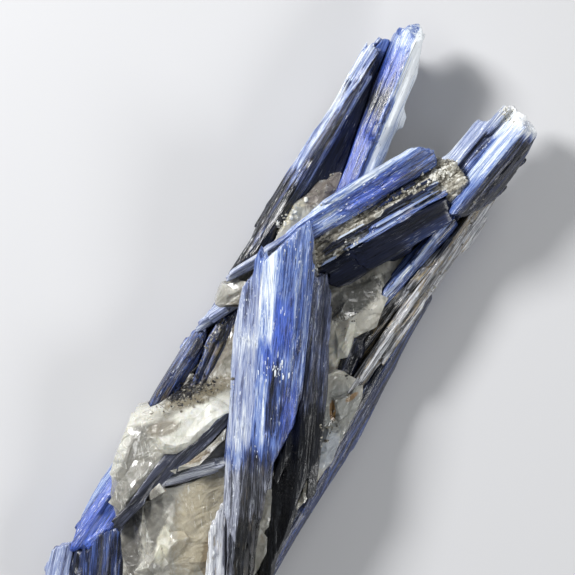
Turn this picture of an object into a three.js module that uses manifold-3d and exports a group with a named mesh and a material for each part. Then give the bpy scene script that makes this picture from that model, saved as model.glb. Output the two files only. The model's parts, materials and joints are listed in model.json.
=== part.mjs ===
// A cluster of kyanite blades grown through quartz, lying on its back. Millimetres, +Z up.
// X runs along the cluster towards the two free horns, Y runs across it and Z is height.
// Outlines are drawn in the cluster's own plan: along it from the broken foot, and across it.
import * as THREE from "three";
import { mergeVertices } from "three/addons/utils/BufferGeometryUtils.js";
import Module from "manifold-3d";

const wasm = await Module();
wasm.setup();

// Driving dimensions, in millimetres.
const GAP = 0.3; // room left around each crystal, so that neighbours touch without overlapping
const REACH = 220; // longer than the whole cluster
const SKY = 60; // higher than the whole cluster
const LEFT_SIDE = 18.6; // across, where the long left edge blade runs
const RIGHT_SIDE = -21; // and where the dark right edge blade runs
const BACK_THICK = 5.2; // the flat blades that the cluster lies on
const CORE_TOP = 9.5; // height of the quartz core that holds all the blades
const FRONT_HEADING = 27; // degrees from the cluster's length to the broad front blade
const CROSS_HEADING = -25.4; // and to the upper blade that crosses it
const UNDER_CROSS_HEADING = -28.2; // and to the lower one

const radians = THREE.MathUtils.degToRad;

// ---- Finishes -------------------------------------------------------------------------------

function finish(color, roughness) {
  return new THREE.MeshStandardMaterial({ color, roughness, metalness: 0 });
}

const finishes = {
  vivid: finish(0x4a6bc4, 0.35),
  pale: finish(0xa9b8e0, 0.35),
  navy: finish(0x1b2350, 0.3),
  slate: finish(0x4c5478, 0.4),
  quartz: finish(0xcfc9b4, 0.4),
  granular: finish(0x8a7a58, 0.7),
};

// ---- Shapes ---------------------------------------------------------------------------------

// A closed three.js geometry as a solid that can be joined and cut.
function solidOf(geometry) {
  const bare = geometry.clone();
  bare.deleteAttribute("normal");
  bare.deleteAttribute("uv");
  const merged = mergeVertices(bare, 1e-4);
  return new wasm.Manifold(
    new wasm.Mesh({
      numProp: 3,
      vertProperties: merged.attributes.position.array,
      triVerts: new Uint32Array(merged.index.array),
    }),
  );
}

function geometryOf(solid) {
  const { vertProperties, triVerts, numProp } = solid.getMesh();
  const geometry = new THREE.BufferGeometry();
  const stored = new THREE.InterleavedBuffer(vertProperties, numProp);
  const position = new THREE.InterleavedBufferAttribute(stored, 3, 0);
  geometry.setAttribute("position", position);
  geometry.setIndex(new THREE.BufferAttribute(triVerts, 1));
  return geometry.toNonIndexed();
}

// An outline moved outwards by a distance all round, with mitred corners.
function grown(points, by) {
  if (by === 0) return points;
  const corners = points.map(([x, y]) => new THREE.Vector2(x, y));
  const side = THREE.ShapeUtils.isClockWise(corners) ? -1 : 1;
  return corners.map((corner, i) => {
    const before = corners[(i + corners.length - 1) % corners.length];
    const after = corners[(i + 1) % corners.length];
    const into = corner.clone().sub(before).normalize();
    const out = after.clone().sub(corner).normalize();
    const normal = new THREE.Vector2(into.y + out.y, -into.x - out.x).normalize();
    const share = Math.max(0.5, normal.dot(new THREE.Vector2(into.y, -into.x)));
    const moved = corner.clone().addScaledVector(normal, (side * by) / share);
    return [moved.x, moved.y];
  });
}

// A closed outline pushed straight through a depth.
function extruded(points, depth) {
  const shape = new THREE.Shape(points.map(([x, y]) => new THREE.Vector2(x, y)));
  return new THREE.ExtrudeGeometry(shape, { depth, bevelEnabled: false });
}

// The plan outline as an upright prism.
function prism(outline, low, high, by) {
  const geometry = extruded(grown(outline, by), high - low + 2 * by);
  return solidOf(geometry.translate(0, 0, low - by));
}

// The cross-section, drawn as [left of the axis, height], run along a crystal's own axis.
function beam({ section, at, heading, rise = 0 }, by) {
  const turn = radians(heading);
  const climb = radians(rise);
  const along = new THREE.Vector3(Math.cos(turn), Math.sin(turn), 0);
  const left = new THREE.Vector3(-Math.sin(turn), Math.cos(turn), 0);
  along.multiplyScalar(Math.cos(climb)).setZ(Math.sin(climb));
  const up = new THREE.Vector3().crossVectors(along, left);
  const place = new THREE.Matrix4().makeBasis(left, up, along);
  place.setPosition(at[0], at[1], 0);
  const geometry = extruded(grown(section, by), 2 * REACH);
  return solidOf(geometry.translate(0, 0, -REACH).applyMatrix4(place));
}

// A flat break through a solid: all that lies above it, the way that it faces, is cut away.
function broken(solid, { at, dip, towards }, by) {
  const lean = radians(dip);
  const way = radians(towards);
  const facing = new THREE.Vector3(
    Math.sin(lean) * Math.cos(way),
    Math.sin(lean) * Math.sin(way),
    Math.cos(lean),
  );
  const distance = facing.dot(new THREE.Vector3(...at)) + by;
  return solid.trimByPlane(facing.negate().toArray(), -distance);
}

// One crystal or lump: its outline, then its cross-section if it has one, then its breaks.
function shaped(form, by) {
  const { outline, low = 0, high = SKY, section, breaks = [] } = form;
  const block = prism(outline, low, high, by);
  const cut = section ? block.intersect(beam(form, by)) : block;
  return breaks.reduce((solid, plane) => broken(solid, plane, by), cut);
}

function largest(solid) {
  return solid.decompose().reduce((a, b) => (a.volume() > b.volume() ? a : b));
}

// The room that a crystal takes from the ones grown after it. A sunk one lies in an open groove.
function roomOf(form) {
  return form.sunk ? prism(form.outline, form.low, SKY, GAP) : shaped(form, GAP);
}

// ---- Growing the cluster --------------------------------------------------------------------

const cluster = new THREE.Group();
let taken = null; // the room of every crystal grown so far

// Adds one named piece. It gives way to the pieces grown before it, so the front ones come first.
function grow(name, material, ...forms) {
  const whole = forms.map((form) => shaped(form, 0)).reduce((a, b) => a.add(b));
  const free = taken ? largest(whole.subtract(taken)) : whole;
  const room = forms.map(roomOf).reduce((a, b) => a.add(b));
  taken = taken ? taken.add(room) : room;
  const mesh = new THREE.Mesh(geometryOf(free), material);
  mesh.name = name;
  cluster.add(mesh);
}

function growFrontBlades() {
  const ridge = { at: [84, 8.3], heading: FRONT_HEADING, rise: 3 };
  grow(
    "broad_front_blade",
    finishes.vivid,
    {
      ...ridge,
      outline: [
        [103, 11.5], [100.5, 12.6], [95, 14], [89, 15.6], [82.5, 16.6], [78.5, 15.2],
        [73.5, 12.6], [67, 9.5], [60.5, 6], [53, 2.4], [46.5, -1], [40, -4.6],
        [36, -7.6], [37.4, -10.6], [40.4, -14.4], [44.5, -12.6], [52, -10], [59, -9.6],
        [65, -8.4], [71.5, -6], [77.5, -3], [83.5, 0], [89, 4], [93, 5.4], [100.5, 9],
      ],
      section: [
        [9.6, 20], [9.9, 21.5], [8.6, 23], [4.6, 24.8], [4.1, 25.6], [0.6, 27.6],
        [0, 28], [-3.4, 27.6], [-3.7, 27], [-6.2, 26.4], [-7.7, 24.4], [-7.8, 20],
      ],
    },
    {
      ...ridge,
      outline: [
        [52, 1.6], [46, -1.6], [36, -7.8], [28.5, -12.5], [19, -17.5], [17, -20],
        [20.5, -21.5], [30, -18.5], [41, -13.8], [52, -9.5],
      ],
      section: [
        [9.4, 17.5], [9.2, 22], [6.6, 23.6], [6.1, 22.8], [2.4, 23.8], [-2, 24.4],
        [-6.8, 23.2], [-7.6, 17.5],
      ],
    },
  );
  grow("dark_side_blade", finishes.navy, {
    ...ridge,
    outline: [
      [91.4, 4.6], [95.2, 2], [90.5, -1.5], [83.5, -5.5], [77, -9.5], [70, -13],
      [63.5, -16], [56, -17.8], [48, -19.2], [38, -21.4], [24, -23], [15, -22.5],
      [16, -17], [34, -10], [52, -4], [66, -1],
    ],
    section: [
      [-1, 13], [-1, 18], [-4.4, 20.4], [-7.4, 22.6], [-9.6, 22.4], [-10, 21.4],
      [-12.2, 21.4], [-13.4, 19.4], [-13.6, 13],
    ],
  });
}

function growCrossBlades() {
  grow("upper_cross_blade", finishes.vivid, {
    at: [110.4, 6.8],
    heading: CROSS_HEADING,
    rise: 5.3,
    outline: [
      [81, 20.4], [84, 20.6], [89, 18.4], [96.5, 14.6], [104.5, 12.2], [113, 8.6],
      [122, 4.2], [126, 2.2], [128.6, 1], [130, -0.6], [130.6, -4], [129, -6.6],
      [126.5, -7.2], [122, -4], [116, 0], [109.5, 3.6], [101.5, 8], [95, 11.6],
      [88, 15.6], [82, 18.6],
    ],
    section: [
      [4.6, 13], [3.2, 19.4], [1.8, 21.8], [0.5, 21.4], [0.2, 20.8], [-2.4, 19.6],
      [-3.9, 17.2], [-4.6, 13],
    ],
  });
  const lower = { at: [109, -6.2], heading: UNDER_CROSS_HEADING, rise: 2 };
  grow(
    "lower_cross_blade",
    finishes.navy,
    {
      ...lower,
      outline: [
        [102.6, 0], [105, -1], [114, -6], [124, -12], [122.4, -13.8], [120, -16.2],
        [113.5, -12.8], [107, -9.6], [101, -6.2], [100.6, -3],
      ],
      section: [
        [3.2, 11], [2.9, 18.6], [2.2, 19.8], [1.6, 19.6], [-3.4, 17.2], [-4.6, 15],
        [-5, 11],
      ],
    },
    {
      ...lower,
      outline: [
        [92.6, 5.6], [97.5, 3], [104, -0.4], [104, -7.4], [100, -5.8], [95.6, -3.8],
        [93.6, -1.8], [93.2, 1],
      ],
      section: [
        [3, 11], [2.7, 17.8], [1.8, 18.6], [-3.4, 16.2], [-5, 14], [-5.2, 11],
      ],
    },
  );
  grow("seam_lath", finishes.pale, {
    at: [109, -3.4],
    heading: UNDER_CROSS_HEADING,
    rise: 2,
    outline: [
      [98.6, 3.4], [101, 3.6], [111, -2], [120, -7], [125.4, -10.6], [124.6, -12],
      [114, -5.6], [105, -0.6],
    ],
    section: [
      [1.2, 13], [0.9, 19], [0.1, 20.2], [-0.7, 19.8], [-1.2, 13],
    ],
  });
}

function growHorns() {
  grow("pale_left_horn", finishes.pale, {
    at: [133.8, 9.6],
    heading: 8.8,
    rise: 1,
    outline: [
      [104, 9.4], [112.5, 10.2], [118, 11], [126.5, 13], [134, 14.6], [141.5, 16.4],
      [146.5, 17.6], [148, 18.6], [150, 18.4], [150.4, 17.4], [149.4, 16.1],
      [152.6, 16], [154.6, 14], [153.6, 12.4], [151, 11], [144, 8], [136.4, 7],
      [135, 5], [132.6, 5.1], [130, 5.6], [122, 4], [108, 3.4],
    ],
    section: [
      [5.6, 9], [5, 14.4], [4.2, 16], [0.8, 18.5], [0.2, 18.7], [-2.2, 17],
      [-2.5, 16.2], [-3.6, 14], [-4.8, 11], [-4.8, 9],
    ],
    breaks: [{ at: [151, 14, 18], dip: 50, towards: 10 }],
  });
  grow("dark_left_horn", finishes.navy, {
    at: [128, 17],
    heading: 6,
    outline: [
      [106, 17], [115.5, 18.8], [123.5, 19], [131, 19.2], [138.5, 19.6], [144, 19.8],
      [147.5, 19], [148.2, 17.6], [146.5, 16], [140, 13.6], [132, 11.6], [122.5, 9.6],
      [106, 8],
    ],
    section: [
      [3.4, 6], [3.2, 13.4], [1.8, 13.2], [-1, 11.8], [-5, 10.8], [-8, 10.4],
      [-8.6, 6],
    ],
  });
  grow("pale_right_horn", finishes.pale, {
    at: [136.3, -16],
    heading: -8,
    outline: [
      [121, -14.6], [124, -12.6], [127.6, -11.4], [129.4, -8.4], [130, -6], [133, -7.4],
      [139.5, -8.4], [142.6, -8.6], [142.8, -10], [144, -11.4], [148, -12],
      [149.6, -14], [149, -16.5], [148.2, -19.6], [147, -22], [142.5, -22.6],
      [136.5, -22.6], [131, -22], [126.5, -20.4], [122.5, -17.8],
    ],
    section: [
      [9, 9], [8.6, 12.5], [7.2, 16.2], [5.2, 16.8], [3.9, 15.4], [3.2, 15.6],
      [0.2, 18.8], [-0.9, 20.4], [-1.6, 20.6], [-4.6, 17.6], [-6.4, 13.6], [-7.4, 9],
    ],
    breaks: [{ at: [146.5, -16, 20], dip: 55, towards: -10 }],
  });
}

function growEdgeBlades() {
  grow("left_edge_blade", finishes.vivid, {
    at: [110, LEFT_SIDE],
    heading: 0,
    outline: [
      [82.6, 19.4], [84.4, 21], [93, 20.8], [101.5, 21.6], [103, 22.2], [105, 21.6],
      [122.5, 21.2], [128, 20.6], [136, 20.6], [141.5, 21.6], [144.5, 21],
      [147.4, 19.4], [146, 18.2], [137.5, 17.4], [123, 16.8], [110, 16.2],
      [99.4, 15.6], [93, 16], [88, 17],
    ],
    section: [
      [2.2, 5.6], [3.2, 8.5], [2.5, 11.2], [0.9, 14.2], [-0.4, 15], [-1.6, 14.2],
      [-2.8, 12.4], [-3.6, 5.6],
    ],
    breaks: [{ at: [145, 19, 13], dip: 60, towards: 0 }],
  });
  grow("pale_wedge_lath", finishes.pale, {
    at: [76, 17.4],
    heading: -26,
    outline: [
      [69, 20.4], [70.4, 20.8], [76.6, 19], [83, 15.6], [82, 13.8], [78.6, 14.6],
      [73, 17.2], [69.6, 18.8],
    ],
    section: [
      [2.2, 6], [1.8, 12.8], [0.8, 14.8], [0, 14.4], [-1.2, 13.4], [-1.8, 6],
    ],
  });
  grow("left_lower_blade", finishes.navy, {
    at: [60, 19.2],
    heading: 0,
    outline: [
      [48.4, 21.2], [56, 21.6], [63, 21.4], [68.4, 20.8], [70.4, 19.4], [68.6, 17.6],
      [64.4, 16.8], [58, 16.4], [51, 17], [48, 19],
    ],
    section: [
      [1.6, 5.6], [2.2, 9], [1.6, 12.4], [0.6, 13.8], [-0.8, 13.4], [-1.6, 12.2],
      [-3, 11.4], [-3.4, 5.6],
    ],
  });
  grow("left_inner_blade", finishes.navy, {
    at: [67, 14.8],
    heading: 8,
    outline: [
      [50, 11.8], [52, 14.4], [61.5, 15.8], [66, 16.6], [70, 17.2], [76, 17.2],
      [80.4, 15.6], [78, 13.8], [73.5, 12.2], [64.5, 11.6], [58, 11],
    ],
    section: [
      [2.8, 6], [2.2, 12.2], [1, 13.6], [0.2, 12.8], [-1.2, 13], [-2.6, 11.6],
      [-3, 6],
    ],
  });
  grow("right_edge_blade", finishes.navy, {
    at: [70, RIGHT_SIDE],
    heading: 2,
    outline: [
      [104, -20.8], [102.4, -21.8], [93.5, -22], [87, -22.4], [71, -23.8],
      [60.5, -24.2], [49, -23.9], [36, -23.6], [22, -23.4], [12, -22.6], [14, -19.6],
      [36, -19.8], [50, -20], [63.5, -19.6], [76.5, -18.6], [90.5, -18.8], [100, -19.6],
    ],
    section: [
      [2.8, 5.4], [2.4, 8.4], [0.8, 10.2], [-0.4, 9.8], [-2, 8], [-3.2, 6.4],
      [-3.4, 5.4],
    ],
  });
  grow("pale_edge_lath", finishes.pale, {
    at: [104, -19],
    heading: -3,
    outline: [
      [131, -20], [130, -22.2], [124, -22], [118, -21.8], [108, -21], [102.5, -20.7],
      [92.5, -20.4], [84, -20], [76, -18.8], [73, -17], [74.5, -15.4], [85.5, -15.9],
      [94.5, -16.4], [102, -17.2], [110.5, -17.7], [118.5, -17.8], [126, -18],
    ],
    section: [
      [3, 5.6], [2.6, 10.4], [1.2, 12.6], [0.2, 12.2], [-1.6, 9.8], [-3, 7.4],
      [-3.2, 5.6],
    ],
  });
}

function growInnerLaths() {
  grow("streaked_inner_lath", finishes.slate, {
    at: [106, -13.4],
    heading: -9,
    rise: 3,
    outline: [
      [121.4, -15.8], [119.6, -18.2], [110.5, -16], [101, -14.4], [93, -13.4],
      [90.6, -12.2], [94, -10.5], [103, -11.2], [111.5, -12.2], [117, -14],
    ],
    section: [
      [2.2, 6], [1.8, 12.2], [0.6, 13.6], [0, 13.2], [-1.4, 12.8], [-2.4, 11.4],
      [-2.8, 6],
    ],
  });
  grow("brown_inner_lath", finishes.granular, {
    at: [104, -16],
    heading: -6,
    rise: 2,
    outline: [
      [124.6, -15.6], [122, -17.4], [110.5, -17.4], [102, -17], [94.5, -16.1],
      [85.5, -15.6], [81.4, -15], [84, -12.8], [92, -12.4], [101, -13.6], [111, -15],
    ],
    section: [
      [3, 5.6], [2.6, 11.4], [1.4, 12.4], [0.8, 11.6], [-0.4, 11.9], [-1.6, 10.6],
      [-2.2, 5.6],
    ],
  });
  grow("black_stub_lath", finishes.navy, {
    at: [80, -13],
    heading: 12,
    rise: 3,
    outline: [
      [71, -16.8], [73.6, -12.2], [78, -10.4], [84, -10], [88.6, -12.4],
      [85.6, -15.2], [77, -15.2],
    ],
    section: [
      [2.6, 5.6], [2, 11.4], [0.8, 12.8], [-0.2, 11.8], [-1.4, 12], [-2.4, 10.4],
      [-3, 5.6],
    ],
  });
}

function growFootBlades() {
  grow("bent_dark_lath", finishes.navy, {
    at: [22.5, 13],
    heading: -9,
    outline: [
      [20.6, 13.2], [21.6, 11.4], [31.5, 10], [39, 8.6], [42.4, 6], [46, 4.8],
      [53, 3.6], [56, 2], [58, 3.6], [55, 6], [51, 6.8], [47, 7.2], [44.8, 8.4],
      [44, 10.6], [41, 12], [32, 12.6],
    ],
    low: 14.8,
    sunk: true,
    section: [
      [10, 10], [10, 18], [3, 19], [-1, 19.4], [-6, 18.8], [-14, 18], [-14, 10],
    ],
    rise: 2,
  });
  grow("blue_foot_blade", finishes.vivid, {
    at: [22, 17],
    heading: -3,
    outline: [
      [38, 21.2], [34, 21.2], [28, 21.2], [17, 20.4], [11, 18.8], [13, 15.6],
      [18.5, 12.8], [22.4, 11.8], [24, 14.4], [29.5, 18],
    ],
    section: [
      [4.6, 5.4], [4.2, 9], [2.6, 12.2], [0.6, 13], [-1, 12.2], [-3.6, 12.4],
      [-5.6, 10.6], [-6, 5.4],
    ],
  });
  grow("purple_foot_blade", finishes.navy, {
    at: [10, 10],
    heading: 27,
    outline: [
      [22, 11.4], [18.6, 8.6], [12, 4], [4, -0.6], [-3, 0.6], [-4.6, 7], [-1, 12],
      [6, 16], [11.4, 18], [15.4, 16.6],
    ],
    section: [
      [8, 5.4], [7.2, 11.4], [4.4, 13], [3.8, 12.2], [0.6, 13.6], [-2.2, 12.6],
      [-2.8, 13.2], [-6, 12], [-7.4, 5.4],
    ],
    breaks: [
      { at: [-2, 5, 11], dip: 60, towards: 190 },
      { at: [20, 11, 13.2], dip: 40, towards: 20 },
    ],
  });
  grow("pale_foot_blade", finishes.pale, {
    at: [4, 16],
    heading: 20,
    outline: [
      [12.4, 18.8], [10.4, 21.2], [7, 21.8], [3, 20.8], [-3, 18], [-6, 13.4],
      [-4.6, 8], [0, 10], [6, 15],
    ],
    section: [
      [6, 5.4], [5, 9.4], [2.4, 11.6], [-0.4, 11], [-3, 11.4], [-7, 10], [-8, 5.4],
    ],
    breaks: [{ at: [-3, 14, 9], dip: 55, towards: 200 }],
  });
  grow("pale_flake_lath", finishes.pale, {
    at: [28, -10],
    heading: 29,
    outline: [
      [37.6, -5], [38.4, -6.6], [31, -10.8], [21, -16.4], [15, -18.6], [13.6, -16.4],
      [22, -11], [30, -6.8],
    ],
    section: [
      [3.4, 14], [2.8, 18.2], [1.4, 19.4], [0.4, 18.6], [-1.4, 18.8], [-2.4, 14],
    ],
    rise: 2,
  });
  grow("blue_stray_lath", finishes.slate, {
    at: [40, 4.6],
    heading: -44,
    outline: [
      [35.2, 9.6], [34.2, 7.6], [38, 3.8], [42.4, 1], [46, -0.8], [47.4, 0.4],
      [43, 4.2], [39, 7.6],
    ],
    low: 13,
    sunk: true,
    section: [
      [1.8, 12], [1.4, 17], [0.2, 17.8], [-0.8, 17.2], [-1.6, 12],
    ],
  });
}

function growBackBlades() {
  const laid = { low: 0, heading: 0, breaks: [] };
  grow("back_left_blade", finishes.slate, {
    ...laid,
    at: [60, 13],
    heading: 1.5,
    outline: [
      [2, 15.6], [10, 18.6], [40, 19.8], [78, 20.4], [112, 20], [119, 17.6],
      [117, 13], [100, 9.6], [60, 8.6], [22, 8], [6, 9.6],
    ],
    section: [
      [5.4, 0], [7, 1.6], [7, 3.4], [5.6, 5], [1.6, BACK_THICK], [-3.4, 5],
      [-5, 3.6], [-5, 1.2], [-3.8, 0],
    ],
  });
  grow("back_middle_blade", finishes.vivid, {
    ...laid,
    at: [50, 0],
    heading: -2.5,
    outline: [
      [-4, 3], [0, 6.4], [30, 7.2], [70, 6.2], [98, 4.6], [104, 0.6], [98, -5.4],
      [64, -6.6], [24, -5], [2, -3.4],
    ],
    section: [
      [4.6, 0.4], [6.4, 1.6], [6.4, 4], [4, BACK_THICK], [-2, 5], [-5.6, 4.2],
      [-6.8, 2.4], [-5.4, 0.4],
    ],
  });
  grow("back_right_blade", finishes.slate, {
    ...laid,
    at: [70, -14.6],
    heading: 0,
    outline: [
      [10, -12], [18, -9], [62, -8.6], [104, -9], [124, -11.6], [130, -15],
      [125, -20.4], [96, -20.6], [50, -21.4], [20, -21.8], [9, -18.6],
    ],
    section: [
      [4, 0], [5.4, 1.4], [5.6, 3.6], [3.6, 5], [-1.4, BACK_THICK], [-5, 4.6],
      [-7, 2.8], [-5.6, 0],
    ],
  });
}

function growMatrix() {
  grow(
    "granular_seam",
    finishes.granular,
    {
      at: [109, 0],
      heading: CROSS_HEADING,
      rise: 3,
      low: 8.5,
      outline: [
        [92.6, 6], [95, 7], [98, 8], [104, 8], [112, 4.6], [122, 0], [129.6, -5],
        [131, -9.6], [129, -14], [125.4, -15.6], [119, -12], [112, -8], [103, -3],
        [97, 1],
      ],
      section: [
        [6, 8], [6, 17], [2.2, 17.6], [0.6, 18.2], [-1.4, 17.6], [-4, 17.8],
        [-8, 16.6], [-8, 8],
      ],
    },
  );
  grow(
    "quartz_matrix",
    finishes.quartz,
    {
      // the large clear mass at the foot, above the bent lath
      outline: [
        [46.6, 23], [44, 22.2], [40.5, 20.6], [35.5, 21.4], [28, 18.8], [24, 15],
        [21.6, 12.4], [32, 9], [42, 4.6], [50, 2.6], [56, -2], [64, 3], [65, 9],
        [59, 12.6], [50.6, 19.6],
      ],
      low: 3,
      breaks: [
        { at: [50, 8, 19.6], dip: 7, towards: 20 },
        { at: [34, 15, 18.4], dip: 18, towards: 120 },
        { at: [57, 11, 16], dip: 38, towards: 40 },
        { at: [46, 21.6, 13], dip: 70, towards: 60 },
        { at: [28, 18, 13], dip: 68, towards: 118 },
      ],
    },
    {
      // the lower mass, set back below the bent lath, with a ridge down it
      outline: [
        [40, 10], [24, 13], [18, 9], [8, 2.6], [5, -3], [8, -10], [15, -17.6],
        [28, -16], [44, -8], [58, 0], [54, 4],
      ],
      low: 2,
      breaks: [
        { at: [22, 5.5, 16.4], dip: 26, towards: 127 },
        { at: [34, 0, 16.2], dip: 7, towards: 300 },
        { at: [24, -8, 15.8], dip: 24, towards: 235 },
        { at: [8, -3, 10], dip: 58, towards: 185 },
        { at: [12, -13, 10], dip: 56, towards: 222 },
      ],
    },
    {
      // the pocket between the dark side blade and the inner laths
      outline: [
        [98, 3], [108, -6], [112, -11.4], [100, -12.6], [91, -13.4], [85, -10.4],
        [75, -11.4], [66, -11], [74, -6], [90, 0],
      ],
      low: 2,
      breaks: [
        { at: [86, -9, 13], dip: 10, towards: 215 },
        { at: [100, -8, 12.2], dip: 18, towards: 15 },
      ],
    },
    {
      // the grey lumps beside the foot of the side blade
      outline: [
        [78, -12], [78, -18.4], [70, -20.4], [60, -21], [48, -20.8], [38, -19.6],
        [38, -12], [56, -8], [70, -7],
      ],
      low: 2,
      breaks: [
        { at: [70, -17, 13.2], dip: 14, towards: 300 },
        { at: [52, -18.4, 13.6], dip: 20, towards: 250 },
      ],
    },
    {
      // the core that holds all the blades, out to the fork between the horns
      outline: [
        [6, 12], [14, 16], [30, 18.4], [60, 19], [90, 18.6], [112, 18], [120, 14],
        [119, 8], [124, 1], [130, -7], [132, -14], [128, -19.4], [96, -20],
        [60, -21.4], [24, -20.6], [12, -14], [4, -4], [2, 6],
      ],
      low: 2,
      high: CORE_TOP,
      breaks: [
        { at: [128, -8, 8], dip: 50, towards: 15 },
        { at: [118, 13, 8], dip: 46, towards: 20 },
        { at: [6, 2, 8], dip: 48, towards: 180 },
      ],
    },
    {
      // the wedge in the fork, below the dark horn
      outline: [
        [84, 17.4], [93, 15.8], [100, 16], [112, 17], [118, 12.6], [113, 8],
        [100, 10], [86, 14],
      ],
      low: 4,
      breaks: [
        { at: [106, 13, 13.6], dip: 12, towards: 20 },
        { at: [94, 15, 13.8], dip: 10, towards: 150 },
      ],
    },
    {
      // the white corner between the cross blade's end and the wedge lath
      outline: [
        [78, 20.6], [80.6, 21], [84, 18.4], [83, 15], [78.6, 15.4], [74.4, 18.8],
      ],
      low: 4,
      breaks: [{ at: [79.6, 18.6, 15.6], dip: 18, towards: 130 }],
    },
    {
      // the crumbly ledge between the left blades and the front blade
      outline: [
        [52, 16.6], [60, 16.2], [70, 17.4], [80, 15.6], [80, 12], [70, 7], [60, 4],
        [54, 8], [50, 12],
      ],
      low: 4,
      breaks: [{ at: [66, 11, 12.9], dip: 8, towards: 100 }],
    },
    {
      // the bed under the broad front blade and the side blade
      outline: [
        [100, 8.6], [92, 12.4], [80, 13], [66, 7.6], [50, -0.6], [34, -9], [22, -16],
        [22, -20.4], [40, -18.8], [58, -14.6], [76, -7], [90, 0.4],
      ],
      low: 4,
      breaks: [{ at: [84, 8.3, 20], dip: 4, towards: 207 }],
    },
  );
}

growFrontBlades();
growCrossBlades();
growHorns();
growEdgeBlades();
growInnerLaths();
growFootBlades();
growBackBlades();
growMatrix();

// The origin is the middle of the underside of the whole cluster's box.
const box = new THREE.Box3().setFromObject(cluster);
const middle = box.getCenter(new THREE.Vector3());
cluster.position.set(-middle.x, -middle.y, -box.min.z);

const root = new THREE.Group();
root.add(cluster);

export default root;
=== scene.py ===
"""Looks of the kyanite blade cluster: split, striated blades, broken quartz and sandy seams, in metres."""

import json
import random
from math import cos, radians, sin

import bpy
from mathutils import Matrix, Vector
from mathutils.bvhtree import BVHTree

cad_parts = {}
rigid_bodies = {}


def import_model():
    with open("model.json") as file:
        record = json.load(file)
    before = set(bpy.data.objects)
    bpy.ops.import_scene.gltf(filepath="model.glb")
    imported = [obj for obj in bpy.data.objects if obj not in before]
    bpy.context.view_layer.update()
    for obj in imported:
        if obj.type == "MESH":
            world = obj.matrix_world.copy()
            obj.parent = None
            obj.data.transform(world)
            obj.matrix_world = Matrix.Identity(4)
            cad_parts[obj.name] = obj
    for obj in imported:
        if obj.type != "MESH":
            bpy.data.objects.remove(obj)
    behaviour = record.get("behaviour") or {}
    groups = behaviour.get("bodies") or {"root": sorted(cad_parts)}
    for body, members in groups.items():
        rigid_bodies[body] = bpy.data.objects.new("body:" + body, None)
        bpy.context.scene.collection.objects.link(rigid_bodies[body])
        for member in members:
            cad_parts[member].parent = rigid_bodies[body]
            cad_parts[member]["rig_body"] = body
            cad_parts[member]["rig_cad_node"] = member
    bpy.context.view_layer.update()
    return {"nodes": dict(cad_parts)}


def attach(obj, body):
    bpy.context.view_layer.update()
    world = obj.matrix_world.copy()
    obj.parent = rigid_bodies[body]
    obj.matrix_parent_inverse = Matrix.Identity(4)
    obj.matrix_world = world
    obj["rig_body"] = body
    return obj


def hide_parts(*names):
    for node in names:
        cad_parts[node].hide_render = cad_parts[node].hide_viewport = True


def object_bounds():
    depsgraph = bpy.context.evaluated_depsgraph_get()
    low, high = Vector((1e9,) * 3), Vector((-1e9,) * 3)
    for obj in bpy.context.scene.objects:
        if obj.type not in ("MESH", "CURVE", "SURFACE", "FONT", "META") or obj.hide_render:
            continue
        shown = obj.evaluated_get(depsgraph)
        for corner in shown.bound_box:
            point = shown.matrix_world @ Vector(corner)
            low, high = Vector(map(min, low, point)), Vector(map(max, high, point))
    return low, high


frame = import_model()

MM = 0.001
PLAN = Vector((-74.472, 0.6, 0.0))  # where the plan's own origin lies, in millimetres
ABOVE = 60  # millimetres, higher than anything on the cluster
ASIDE = Vector((4, 4, 0))  # where the patterns wait while they are copied, in metres
SAME_CORNER = 0.002  # millimetres within which two corners of a solid are one
GROWN_TOGETHER = 0.3  # millimetres by which the quartz closes up against the crystals

# millimetres between the vertices of each skin
FIRST_SKIN = 0.22
FINE_SKIN = 0.15
QUARTZ_SKIN = 0.42
SEAM_SKIN = 0.3
SQUEEZE = 4  # how much shorter a blade is while its skin is laid, so that its laths stay long

SEAM_TURN = 27  # degrees that bring the seam in line with X

# degrees between two faces above which their edge stays sharp
FIBRE_EDGE = 30
SHELL_EDGE = 16

FULL_TURN = 6.28  # radians, near enough for a grain's random turn
THICKEST_LATH = 2.0  # millimetres
LATH_LEAN = 0.8  # degrees by which a loose lath may lie out of true
KYANITE_IOR = 1.6
QUARTZ_IOR = 1.54

# ---- Selecting and shaping ------------------------------------------------------------------


def place(u, v, z):
    """A point given along the cluster, across it and up, in millimetres, as a point in metres."""
    return (Vector((u, v, z)) + PLAN) * MM


def only(piece):
    """Select one piece and nothing else."""
    bpy.ops.object.select_all(action="DESELECT")
    piece.select_set(True)
    bpy.context.view_layer.objects.active = piece


def broken_off(piece, breaks):
    """Take away what lies beyond each break: a point on it and the way it faces."""
    only(piece)
    bpy.ops.object.mode_set(mode="EDIT")
    for point, facing in breaks:
        bpy.ops.mesh.select_all(action="SELECT")
        bpy.ops.mesh.bisect(plane_co=point, plane_no=facing, clear_outer=True, use_fill=True)
    bpy.ops.object.mode_set(mode="OBJECT")


def another(piece):
    """A second piece, with its own mesh."""
    only(piece)
    bpy.ops.object.duplicate()
    return bpy.context.object


def settled(piece):
    """Leave a piece's place, turn and size in its mesh."""
    only(piece)
    bpy.ops.object.transform_apply(location=True, rotation=True, scale=True)


def reach_of(piece):
    """The lowest and highest corner of a piece's box, in its own frame."""
    corners = [Vector(c) for c in piece.bound_box]
    low = Vector([min(c[i] for c in corners) for i in range(3)])
    high = Vector([max(c[i] for c in corners) for i in range(3)])
    return low, high


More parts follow.
